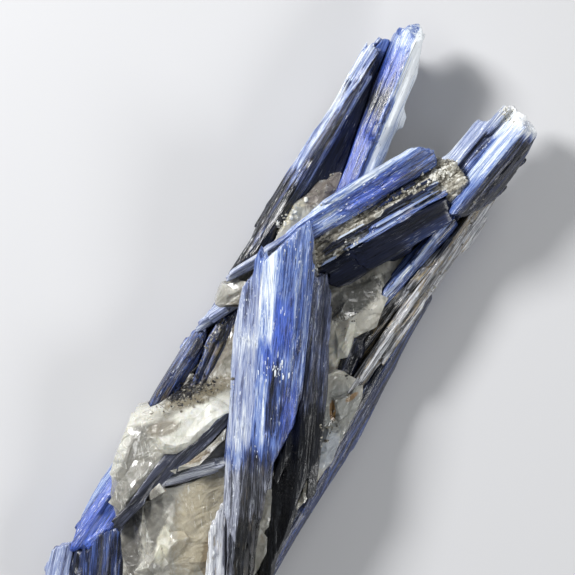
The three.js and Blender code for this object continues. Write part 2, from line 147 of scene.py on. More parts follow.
def copy_of(node_name):
    """A merged copy of a crystal's solid, free of the frame."""
    piece = another(frame["nodes"][node_name])
    bpy.ops.object.parent_clear(type="CLEAR_KEEP_TRANSFORM")
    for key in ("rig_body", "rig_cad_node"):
        del piece[key]
    piece.data.materials.clear()
    bpy.ops.object.mode_set(mode="EDIT")
    bpy.ops.mesh.select_all(action="SELECT")
    bpy.ops.mesh.remove_doubles(threshold=SAME_CORNER * MM)
    bpy.ops.object.mode_set(mode="OBJECT")
    return piece


def joined(piece, others):
    """Several closed meshes as one piece."""
    bpy.ops.object.select_all(action="DESELECT")
    for other in [*others, piece]:
        other.select_set(True)
    bpy.context.view_layer.objects.active = piece
    bpy.ops.object.join()
    return piece


def drawn_out(piece, times):
    """Draw a piece out along X, or squeeze it, and leave that in its mesh."""
    only(piece)
    piece.scale = (times, 1, 1)
    bpy.ops.object.transform_apply(location=False, rotation=False, scale=True)


def turned(piece, degrees):
    """Turn a piece about the vertical through the origin, and leave the turn in its mesh."""
    piece.rotation_mode = "XYZ"
    piece.rotation_euler = (0, 0, radians(degrees))
    settled(piece)


def modified(piece, kind, **settings):
    """Shape a piece by one modifier and leave that in its mesh."""
    only(piece)
    step = piece.modifiers.new(kind, kind)
    for key, value in settings.items():
        setattr(step, key, value)
    bpy.ops.object.modifier_apply(modifier=step.name)


def remeshed(piece, size):
    """One even skin over everything in the piece. Size in millimetres."""
    modified(piece, "REMESH", mode="VOXEL", voxel_size=size * MM)


def pushed(piece, texture, grain, strength, seed, along="NORMAL"):
    """Push a piece's surface in and out by a texture stretched to the grain's length and widths, in mm."""
    bpy.ops.object.select_all(action="DESELECT")
    bpy.ops.object.empty_add(location=Vector(seed) * MM)
    guide = bpy.context.object
    guide.scale = Vector(grain) * MM
    bpy.context.view_layer.update()
    lay = dict(texture=texture, texture_coords="OBJECT", texture_coords_object=guide)
    modified(piece, "DISPLACE", **lay, direction=along, space="LOCAL", strength=strength * MM, mid_level=0.5)
    only(guide)
    bpy.ops.object.delete()


def swollen(piece, amount):
    """Push the whole surface out evenly, by so many millimetres."""
    modified(piece, "DISPLACE", strength=amount * MM, mid_level=0.0)


def texture_of(name, kind, **settings):
    """A texture one unit across, to push surfaces with."""
    texture = bpy.data.textures.new(name, kind)
    for key, value in settings.items():
        setattr(texture, key, value)
    return texture


lath_cells = texture_of("lath cells", "VORONOI", noise_scale=1.0, color_mode="POSITION")
fibre_noise = texture_of("fibre noise", "CLOUDS", noise_scale=1.0, noise_depth=3)
shell_cells = texture_of("shell cells", "VORONOI", noise_scale=1.0, noise_intensity=1.0)
facet_cells = texture_of(
    "facet cells", "VORONOI", noise_scale=1.0, distance_metric="MANHATTAN", noise_intensity=1.0
)
rough_noise = texture_of("rough noise", "CLOUDS", noise_scale=1.0, noise_depth=4)

# ---- Loose laths ----------------------------------------------------------------------------


def cut_block(name, breaks):
    """A pattern one unit long, wide and high, lying along X, cut by slanting breaks."""
    bpy.ops.object.select_all(action="DESELECT")
    bpy.ops.mesh.primitive_cube_add(size=1.0, location=(0, 0, 0))
    block = bpy.context.object
    block.name = name
    broken_off(block, breaks)
    block.location = ASIDE
    return block


loose_laths = [
    cut_block("blunt_lath", [((0.49, 0, 0), (1, 0.1, 0.02)), ((-0.49, 0, 0), (-1, 0.15, 0.03))]),
    cut_block("slant_lath", [((0.42, 0, 0), (1, 0.3, 0.05)), ((-0.44, 0, 0), (-1, -0.2, 0.08))]),
    cut_block(
        "point_lath",
        [((0.4, 0, 0), (1, 0.3, 0.1)), ((0.4, 0, 0), (1, -0.35, 0.1)), ((-0.4, 0, 0), (-1, 0.3, 0.1))],
    ),
]


def skin_of(piece):
    """A piece's surface, to drop things onto."""
    return BVHTree.FromObject(piece, bpy.context.evaluated_depsgraph_get())


def put_lath(kind, centre, along, normal, length, width, thick):
    """A copy of a loose lath, lying along a direction and facing a normal. Sizes in mm."""
    lath = another(loose_laths[kind])
    along = (along - normal * along.dot(normal)).normalized()
    axes = Matrix((along, normal.cross(along), normal)).transposed().to_4x4()
    size = Matrix.Diagonal((length * MM, width * MM, thick * MM, 1))
    lath.matrix_world = Matrix.Translation(centre) @ axes @ size
    return lath


def lay_lath(kind, hit, normal, heading, length, width, proud):
    """A loose lath laid on a surface, sunk in it but for the little that it stands proud."""
    thick = min(THICKEST_LATH, width + 0.5)
    along = Vector((cos(radians(heading)), sin(radians(heading)), 0))
    centre = hit - normal * (thick / 2 - proud) * MM
    return put_lath(kind, centre, along, normal, length, width, thick)


def scatter_laths(piece, rng, count, side, length, width, proud):
    """Laths lying on one side of a blade that points along X, each a little proud of its surface."""
    skin = skin_of(piece)
    low, high = reach_of(piece)
    axis = "xyz".index(side[1])
    way = Vector((0, 0, 0))
    way[axis] = -1 if side[0] == "+" else 1
    made = []
    for _ in range(count * 5):
        if len(made) == count:
            break
        start = Vector([rng.uniform(low[i], high[i]) for i in range(3)])
        start[axis] = (high[axis] + 0.01) if side[0] == "+" else (low[axis] - 0.01)
        hit, normal, _, _ = skin.ray_cast(start, way)
        run, wide, out = rng.uniform(*length), rng.uniform(*width), rng.uniform(*proud)
        lean = rng.uniform(-LATH_LEAN, LATH_LEAN)
        kind = rng.randrange(3)
        half = Vector((run * MM / 2, 0, 0))
        ends = [skin.ray_cast(start + half, way)[0], skin.ray_cast(start - half, way)[0]]
        if hit is None or abs(normal.x) > 0.5 or None in ends:
            continue
        made.append(lay_lath(kind, hit, normal, lean, run, wide, out))
    return made


def splinter_ends(piece, rng, count, reach):
    """Thin laths that stick out of both ends of a blade that points along X."""
    skin = skin_of(piece)
    low, high = reach_of(piece)
    made = []
    for way in (-1, 1):
        for _ in range(count):
            start = Vector([rng.uniform(low[i], high[i]) for i in range(3)])
            start.x = high.x + 0.01 if way < 0 else low.x - 0.01
            hit, _, _, _ = skin.ray_cast(start, Vector((way, 0, 0)))
            run, wide, turn = 2 * rng.uniform(*reach), rng.uniform(0.7, 1.8), rng.uniform(-0.6, 0.6)
            kind = rng.randrange(3)
            if hit is None:
                continue
            normal = Vector((0, sin(turn), cos(turn)))
            made.append(put_lath(kind, hit, Vector((1, 0, 0)), normal, run, wide, wide * 0.6))
    return made


def lay_slabs(piece, at, heading, slabs):
    """Flakes left on a blade: the blade's own shape between two breaks and two sides, lifted a little."""
    middle = Matrix.Rotation(radians(-heading), 3, "Z") @ place(*at)
    made = []
    for back, front, right, left, lift in slabs:
        slab = another(piece)
        breaks = (
            ((middle.x + back * MM, middle.y + left * MM, 0), (-1, 0.25, 0)),
            ((middle.x + front * MM, middle.y + right * MM, 0), (1, 0.25, 0)),
            ((0, middle.y + right * MM, 0), (0, -1, 0)),
            ((0, middle.y + left * MM, 0), (0, 1, 0)),
        )
        broken_off(slab, breaks)
        slab.location.z += lift * MM
        made.append(slab)
    return made


# ---- Materials ------------------------------------------------------------------------------


class Recipe:
    """A material's node tree, with short ways to add the nodes that the finishes share."""

    def __init__(self, name):
        self.material = bpy.data.materials.new(name)
        self.material.use_nodes = True
        self.tree = self.material.node_tree
        self.shader = self.tree.nodes["Principled BSDF"]
        self.coords = self.add("ShaderNodeTexCoord").outputs["Object"]

    def add(self, kind, **settings):
        """A node of a kind, with its settings."""
        made = self.tree.nodes.new(kind)
        for key, value in settings.items():
            setattr(made, key, value)
        return made

    def link(self, source, target):
        self.tree.links.new(source, target)

    def feed(self, target, value):
        """A socket's value, from another node or as a plain number."""
        if isinstance(value, bpy.types.NodeSocket):
            self.link(value, target)
        else:
            target.default_value = value

    def settle(self, **values):
        """Plain values of the finish, each named as its socket is, with _ for a space."""
        for name, value in values.items():
            self.shader.inputs[name.replace("_", " ")].default_value = value

    def math(self, operation, a, b=0.0, c=0.0, clamp=False):
        made = self.add("ShaderNodeMath", operation=operation, use_clamp=clamp)
        for target, value in zip(made.inputs, (a, b, c)):
            self.feed(target, value)
        return made.outputs[0]

    def within(self, at, heading, grain):
        """Coordinates in the crystal's own frame: along it, to its left and up, in grain units."""
        made = self.add("ShaderNodeMapping", vector_type="TEXTURE")
        self.link(self.coords, made.inputs["Vector"])
        made.inputs["Location"].default_value = place(*at)
        made.inputs["Rotation"].default_value = (0, 0, radians(heading))
        made.inputs["Scale"].default_value = Vector(grain) * MM
        return made.outputs["Vector"]

    def noise(self, vector, detail=4.0, roughness=0.55, distortion=0.0):
        """Clouds, about as big as the grain of the coordinates."""
        made = self.add("ShaderNodeTexNoise")
        self.link(vector, made.inputs["Vector"])
        made.inputs["Scale"].default_value = 1.0
        made.inputs["Detail"].default_value = detail
        made.inputs["Roughness"].default_value = roughness
        made.inputs["Distortion"].default_value = distortion
        return made.outputs["Fac"]

    def cells(self, vector):
        """Cells, each with one value of its own."""
        made = self.add("ShaderNodeTexVoronoi")
        self.link(vector, made.inputs["Vector"])
        made.inputs["Scale"].default_value = 1.0
        return made.outputs["Color"]

    def stretch(self, value, low, high, to_low=0.0, to_high=1.0, smooth=True):
        """A value's range between low and high, laid over another range and cut off at its ends."""
        made = self.add("ShaderNodeMapRange", clamp=True)
        if smooth:
            made.interpolation_type = "SMOOTHSTEP"
        for target, given in zip(made.inputs, (value, low, high, to_low, to_high)):
            self.feed(target, given)
        return made.outputs[0]

    def ramp(self, value, stops):
        """The colour that a value has among some stops."""
        made = self.add("ShaderNodeValToRGB")
        self.link(value, made.inputs[0])
        elements = made.color_ramp.elements
        while len(elements) < len(stops):
            elements.new(0.5)
        for element, (position, colour) in zip(elements, stops):
            element.position = position
            element.color = (*colour, 1)
        return made.outputs[0]

    def mix(self, factor, a, b):
        """Colour a, turning into b as the factor goes from 0 to 1."""
        made = self.add("ShaderNodeMix", data_type="RGBA", blend_type="MIX")
        self.feed(made.inputs["Factor"], factor)
        for name, value in (("A", a), ("B", b)):
            target = [s for s in made.inputs if s.name == name and s.type == "RGBA"][0]
            self.feed(target, value if isinstance(value, bpy.types.NodeSocket) else (*value, 1))
        return [s for s in made.outputs if s.type == "RGBA"][0]

    def shifted(self, vector, wobble, amount):
        """Coordinates bent by a wobble, so that what they carry doesn't run straight."""
        made = self.add("ShaderNodeVectorMath", operation="ADD")
        self.link(vector, made.inputs[0])
        self.link(self.math("MULTIPLY", wobble, amount), made.inputs[1])
        return made.outputs[0]

    def faded(self, colour, saturation):
        """A greyer colour."""
        made = self.add("ShaderNodeHueSaturation")
        self.link(colour, made.inputs["Color"])
        self.feed(made.inputs["Saturation"], saturation)
        return made.outputs["Color"]

    def scaled(self, colour, amount):
        """A lighter or darker colour."""
        made = self.add("ShaderNodeVectorMath", operation="SCALE")
        self.link(colour, made.inputs[0])
        self.link(amount, made.inputs["Scale"])
        return made.outputs[0]

    def blot(self, at, heading, size, wobble):
        """1 inside an oval patch, seen from above, with a ragged rim. Half sizes in millimetres."""
        near = self.within(at, heading, (*size, 1000))
        made = self.add("ShaderNodeVectorMath", operation="LENGTH")
        self.link(near, made.inputs[0])
        far = self.math("MULTIPLY_ADD", wobble, 1.2, made.outputs["Value"])
        return self.stretch(far, 1.35, 1.75, 1.0, 0.0)

    def bump(self, height, distance):
        """The finest relief, of a depth in millimetres, given to the finish."""
        made = self.add("ShaderNodeBump")
        made.inputs["Strength"].default_value = 1.0
        made.inputs["Distance"].default_value = distance * MM
        self.link(height, made.inputs["Height"])
        self.link(made.outputs["Normal"], self.shader.inputs["Normal"])

    def zone(self, frame_mm, wobble, across=None, along=None, soft=0.8):
        """1 inside a strip across and along the crystal, in millimetres, with wandering edges."""
        split = self.add("ShaderNodeSeparateXYZ")
        self.link(frame_mm, split.inputs[0])
        mask = None
        for out, limits, edge in ((1, across, soft), (0, along, soft * 6)):
            if limits is None:
                continue
            value = self.math("ADD", split.outputs[out], self.math("MULTIPLY", wobble, edge * 2))
            value = self.math("SUBTRACT", value, edge)
            rise = self.stretch(value, limits[0] - edge / 2, limits[0] + edge / 2)
            fall = self.stretch(value, limits[1] - edge / 2, limits[1] + edge / 2, 1.0, 0.0)
            part = self.math("MULTIPLY", rise, fall)
            mask = part if mask is None else self.math("MULTIPLY", mask, part)
        return mask


# kyanite from near black to white, by tone
BLUES = [
    (0.0, (0.004, 0.005, 0.009)),
    (0.15, (0.012, 0.015, 0.034)),
    (0.30, (0.022, 0.035, 0.105)),
    (0.42, (0.046, 0.078, 0.235)),
    (0.54, (0.095, 0.160, 0.440)),
    (0.66, (0.180, 0.265, 0.560)),
    (0.78, (0.360, 0.440, 0.640)),
    (0.90, (0.640, 0.720, 0.840)),
    (1.0, (0.88, 0.92, 0.95)),
]
VIVID = (0.060, 0.130, 0.640)
TAN_STAIN = (0.26, 0.20, 0.11)
# white of split lath edges, partly a painted glint
SPLIT_AND_GLINT_WHITE = (0.76, 0.82, 0.90)
# white of small chips, partly a painted glint
CHIP_AND_GLINT_WHITE = (0.80, 0.85, 0.92)
CRACK_BLACK = (0.007, 0.009, 0.020)


def on_blade(at, heading, along, across):
    """The plan point that lies so far along a blade, and to its left, from its own middle."""
    turn = radians(heading)
    u = at[0] + along * cos(turn) - across * sin(turn)
    v = at[1] + along * sin(turn) + across * cos(turn)
    return (u, v, at[2])


def kyanite(
    name, at, heading, tone, spread=1.0, zones=(), vivid=(), dull=(), stains=0.0, rough=1.0, seed=0.0
):
    """Striated kyanite. Tone runs from 0, near black, to 1, white; zones lift or sink it in strips."""
    r = Recipe(name)
    mm = r.within(at, heading, (1, 1, 1))
    moved = (at[0] + seed, at[1] + seed, at[2])

    def streaks(size, shift=(0, 0), **kind):
        """Noise drawn out along the blade, of a size in millimetres."""
        return r.noise(r.within(on_blade(moved, heading, *shift), heading, size), **kind)

    def bundles(size, wander, amount):
        """Laths of one tone each, of a size in millimetres, that don't run quite straight."""
        return r.cells(r.shifted(r.within(moved, heading, size), wander, amount))

    wobble = streaks((7, 0.7, 0.7))
    broad = streaks((24, 2.4, 2.4))
    laths = streaks((22, 0.6, 0.6), roughness=0.65)
    fibres = streaks((5, 0.2, 0.2), roughness=0.7)
    layers = (
        (broad, 0.7),
        (laths, 0.6),
        (fibres, 0.6),
        (bundles((50, 1.1, 1.1), wobble, 0.3), 0.16),
        (bundles((12, 0.5, 0.5), fibres, 0.7), 0.22),
        (bundles((4, 0.2, 0.2), fibres, 0.5), 0.20),
    )
    value = tone
    for layer, share in layers:
        part = r.math("MULTIPLY_ADD", layer, share * spread, -share * spread / 2)
        value = r.math("ADD", part, value)
    for lift, across, along, soft in zones:
        mask = r.zone(mm, wobble, across, along, soft)
        value = r.math("MULTIPLY_ADD", mask, lift, value)
    colour = r.ramp(value, BLUES)
    for across, along in vivid:
        mask = r.math("MULTIPLY", r.zone(mm, wobble, across, along, 1.2), r.stretch(fibres, 0.35, 0.6))
        colour = r.mix(r.math("MULTIPLY", mask, 0.8), colour, VIVID)
    if dull:
        greyed = 0.0
        for amount, across, along in dull:
            mask = r.zone(mm, wobble, across, along, 1.0) or 1.0
            greyed = r.math("MULTIPLY_ADD", mask, amount, greyed)
        colour = r.faded(colour, r.math("SUBTRACT", 1.0, greyed, clamp=True))
    # thin white lines, partly where a lath's edge has split off and partly a painted glint along the
    # striations
    split_glint_lines = streaks((4, 0.2, 0.2), (7, 3), detail=3)
    sparse = streaks((9, 3, 3), (5, 1), detail=2)
    split = r.math("MULTIPLY", r.stretch(split_glint_lines, 0.60, 0.67), r.stretch(sparse, 0.44, 0.60))
    split = r.math("MULTIPLY", split, r.stretch(value, 0.1, 0.5, 0.15, 0.9))
    colour = r.mix(split, colour, SPLIT_AND_GLINT_WHITE)
    # small bright chips along the cleavage, partly painted glints
    chips = streaks((1.3, 0.24, 0.24), (3, 6), detail=2)
    patchy = streaks((7, 2.5, 2.5), (9, 2), detail=3)
    chip_glint = r.math("MULTIPLY", r.stretch(chips, 0.61, 0.68), r.stretch(patchy, 0.54, 0.64))
    chip_glint = r.math("MULTIPLY", chip_glint, r.stretch(value, 0.12, 0.4, 0.0, 0.85))
    colour = r.mix(chip_glint, colour, CHIP_AND_GLINT_WHITE)
    # dark cracks between laths
    gap = r.stretch(streaks((10, 0.26, 0.26), (2, 9), detail=3), 0.38, 0.32)
    colour = r.mix(r.math("MULTIPLY", gap, 0.8), colour, CRACK_BLACK)
    if stains:
        blotch = streaks((5, 1.2, 1.2), detail=5, roughness=0.7)
        mask = r.math("MULTIPLY", r.stretch(blotch, 0.52, 0.62), stains)
        mask = r.math("MULTIPLY", mask, r.stretch(fibres, 0.35, 0.6))
        colour = r.mix(mask, colour, TAN_STAIN)
    r.link(colour, r.shader.inputs["Base Color"])
    r.link(r.stretch(fibres, 0.3, 0.75, 0.12 * rough, 0.38 * rough), r.shader.inputs["Roughness"])
    height = r.math("ADD", r.math("MULTIPLY", laths, 0.8), r.math("MULTIPLY", fibres, 0.7))
    r.bump(height, 0.14 * rough)
    r.settle(
        IOR=KYANITE_IOR, Specular_IOR_Level=0.5 * rough, Coat_Weight=0.15 * rough, Coat_Roughness=0.1
    )
    return r.material


# where the quartz turns another colour, one of them a painted shadow: colour, strength, middle, heading,
# half length and half width
QUARTZ_PATCHES_AND_SHADOW = [
    ((0.37, 0.36, 0.32), 0.9, (34, 17, 15), 32, (13, 6)),
    ((0.62, 0.55, 0.40), 0.9, (32, -3, 15), 20, (13, 6)),
    ((0.20, 0.19, 0.17), 0.9, (20, 8, 15), 32, (9, 2.4)),
    ((0.24, 0.23, 0.20), 0.85, (27, 5.5, 15), 36, (9, 2.6)),
    ((1.0, 0.99, 0.88), 0.95, (51, 9, 15), -28, (11, 4.6)),
    ((0.92, 0.90, 0.80), 0.9, (47, 19.5, 15), -35, (6, 2)),
    ((0.92, 0.91, 0.82), 0.8, (38, 21, 15), 11, (9, 1.4)),
    ((0.40, 0.36, 0.29), 0.8, (46, 15, 15), -40, (4, 1.8)),
    ((0.30, 0.22, 0.12), 0.8, (44, 5.5, 15), -40, (4, 1.2)),
    ((0.28, 0.24, 0.16), 0.9, (57, 12.4, 15), -35, (9, 2.4)),
    ((0.012, 0.013, 0.022), 0.95, (56.5, 15.2, 15), -30, (5.5, 2.2)),
    ((0.97, 0.94, 0.78), 0.9, (23, 1.4, 15), 20, (5, 1.6)),
    ((0.30, 0.22, 0.12), 0.7, (27, -8.5, 15), 20, (6, 1.6)),
    # painted shadow: near black where the lower cross blade shades the top of the pocket
    ((0.09, 0.09, 0.08), 0.9, (93, -6, 12), -28, (9, 3.2)),
    ((0.97, 0.94, 0.80), 0.9, (83, -10.5, 12), 20, (7, 4.0)),
    ((0.44, 0.45, 0.42), 0.9, (68, -17, 12), 5, (9, 5)),
    ((0.60, 0.65, 0.72), 0.8, (61, -19, 12), 5, (5, 3)),
    ((0.45, 0.22, 0.03), 0.85, (69, -15.6, 12), 32, (2.6, 0.7)),
    ((0.45, 0.22, 0.03), 0.7, (74, -17.6, 12), -20, (1.8, 0.6)),
    ((0.07, 0.07, 0.06), 0.8, (53, -15, 12), 20, (10, 3)),
    ((0.24, 0.20, 0.17), 0.9, (112, 12.4, 12), -30, (8, 4)),
    ((0.80, 0.75, 0.58), 0.9, (102, 16, 12), -10, (5, 1.6)),
    ((0.22, 0.19, 0.14), 0.8, (68, 15, 12), 0, (13, 4)),
]
# where veils of trapped bubbles run through it: middle, heading, half length and half width
VEILS = [
    ((40, 17, 15), 38, (9, 3.5)),
    ((31, 18, 15), 38, (7, 3)),
    ((22, 6, 15), 38, (8, 1.6)),
    ((36, -1, 15), 44, (7, 4)),
    ((86, -9, 12), 27, (7, 3)),
]
MILKY = [(0.0, (0.34, 0.33, 0.28)), (0.5, (0.58, 0.56, 0.49)), (1.0, (0.82, 0.80, 0.71))]
VEIL_WHITE = (0.94, 0.93, 0.86)
RUST_BROWN = (0.34, 0.24, 0.10)
# painted shade: brown darkening in the quartz's hollows
HOLLOW_SHADE = (0.13, 0.10, 0.06)
# white of crushed arrises, partly a painted highlight
CRUSHED_AND_HIGHLIGHT_WHITE = (0.96, 0.95, 0.87)


def quartz(name):
    """Clear to milky quartz: cream and smoky patches, a painted shadow in the pocket, veils, arrises paled
    by crushing and a painted highlight, and hollows browned by painted shade.
    """
    r = Recipe(name)
    at = (40, 5, 10)
    clouds = r.noise(r.within(at, 20, (7, 5, 5)), detail=4, roughness=0.55)
    wisps = r.noise(r.within(at, 38, (4, 2.4, 3)), detail=5, roughness=0.7, distortion=1.5)
    grain = r.noise(r.within(at, 0, (0.5, 0.5, 0.5)), detail=4, roughness=0.7)
    colour = r.ramp(r.stretch(clouds, 0.3, 0.7, smooth=False), MILKY)
    for tint, strength, middle, heading, size in QUARTZ_PATCHES_AND_SHADOW:
        mask = r.blot(middle, heading, size, wisps)
        colour = r.mix(r.math("MULTIPLY", mask, strength), colour, tint)
    colour = r.scaled(colour, r.stretch(wisps, 0.35, 0.65, 0.80, 1.14, smooth=False))
    threads = r.noise(r.within(at, 38, (3.0, 0.5, 0.6)), detail=4, roughness=0.65)
    feathers = r.noise(r.within(at, 20, (1.4, 0.6, 1)), detail=5, roughness=0.75, distortion=1.0)
    veil = r.math("MULTIPLY", r.stretch(feathers, 0.60, 0.72), r.stretch(clouds, 0.42, 0.58))
    for middle, heading, size in VEILS:
        here = r.math("MULTIPLY", r.blot(middle, heading, size, wisps), r.stretch(threads, 0.56, 0.68))
        veil = r.math("MAXIMUM", veil, here)
    colour = r.mix(r.math("MULTIPLY", veil, 0.75), colour, VEIL_WHITE)
    blotch = r.noise(r.within((12, 8, 3), 30, (5, 2, 3)), detail=6, roughness=0.75)
    stain = r.math("MULTIPLY", r.stretch(blotch, 0.60, 0.72), 0.6)
    colour = r.mix(stain, colour, RUST_BROWN)
    # broken arrises are crushed white and carry a painted highlight; hollows get a painted shade, a little
    # brown
    relief = r.add("ShaderNodeNewGeometry").outputs["Pointiness"]
    arris_highlight = r.math("MULTIPLY", r.stretch(relief, 0.53, 0.60), r.stretch(feathers, 0.38, 0.56))
    hollow_shade = r.math("MULTIPLY", r.stretch(relief, 0.475, 0.42), r.stretch(feathers, 0.35, 0.6))
    colour = r.mix(r.math("MULTIPLY", hollow_shade, 0.7), colour, HOLLOW_SHADE)
    colour = r.mix(r.math("MULTIPLY", arris_highlight, 0.85), colour, CRUSHED_AND_HIGHLIGHT_WHITE)
    r.link(colour, r.shader.inputs["Base Color"])
    gloss = r.math("MULTIPLY_ADD", veil, 0.25, r.stretch(clouds, 0.35, 0.65, 0.05, 0.22))
    r.link(gloss, r.shader.inputs["Roughness"])
    swells = r.noise(r.within(at, -30, (4, 2.2, 2.2)), detail=2, roughness=0.4, distortion=0.8)
    height = r.math("ADD", r.math("MULTIPLY", swells, 3.0), r.math("MULTIPLY", grain, 0.16))
    height = r.math("ADD", height, r.math("MULTIPLY", feathers, 0.5))
    r.bump(height, 0.30)
    r.settle(IOR=QUARTZ_IOR, Coat_Weight=0.6, Coat_Roughness=0.04, Transmission_Weight=0.30)
    r.settle(Subsurface_Weight=0.5, Subsurface_Radius=(1.0, 0.9, 0.7), Subsurface_Scale=1.0 * MM)
    return r.material


SANDS = [
    (0.0, (0.016, 0.016, 0.020)),
    (0.25, (0.075, 0.068, 0.055)),
    (0.5, (0.22, 0.20, 0.155)),
    (0.75, (0.46, 0.44, 0.37)),
    (1.0, (0.86, 0.85, 0.78)),
]


def sandy(name, dark=0.0):
    """Crumbly quartz: cream, tan and brown grains. Dark sinks it towards brown."""
    r = Recipe(name)
    at = (110, 0, 15)
    grains = r.cells(r.within(at, -26, (0.8, 0.5, 0.5)))
    patches = r.noise(r.within(at, -26, (6, 1.5, 1.5)), detail=5, roughness=0.7)
    pick = r.math("ADD", r.math("MULTIPLY", grains, 0.45), r.math("MULTIPLY", patches, 0.9))
    pick = r.math("SUBTRACT", pick, dark)
    colour = r.ramp(r.stretch(pick, 0.35, 1.0, smooth=False), SANDS)
    r.link(colour, r.shader.inputs["Base Color"])
    r.settle(Roughness=0.5, IOR=QUARTZ_IOR)
    r.bump(pick, 0.3)
    return r.material


# ---- Blades ---------------------------------------------------------------------------------

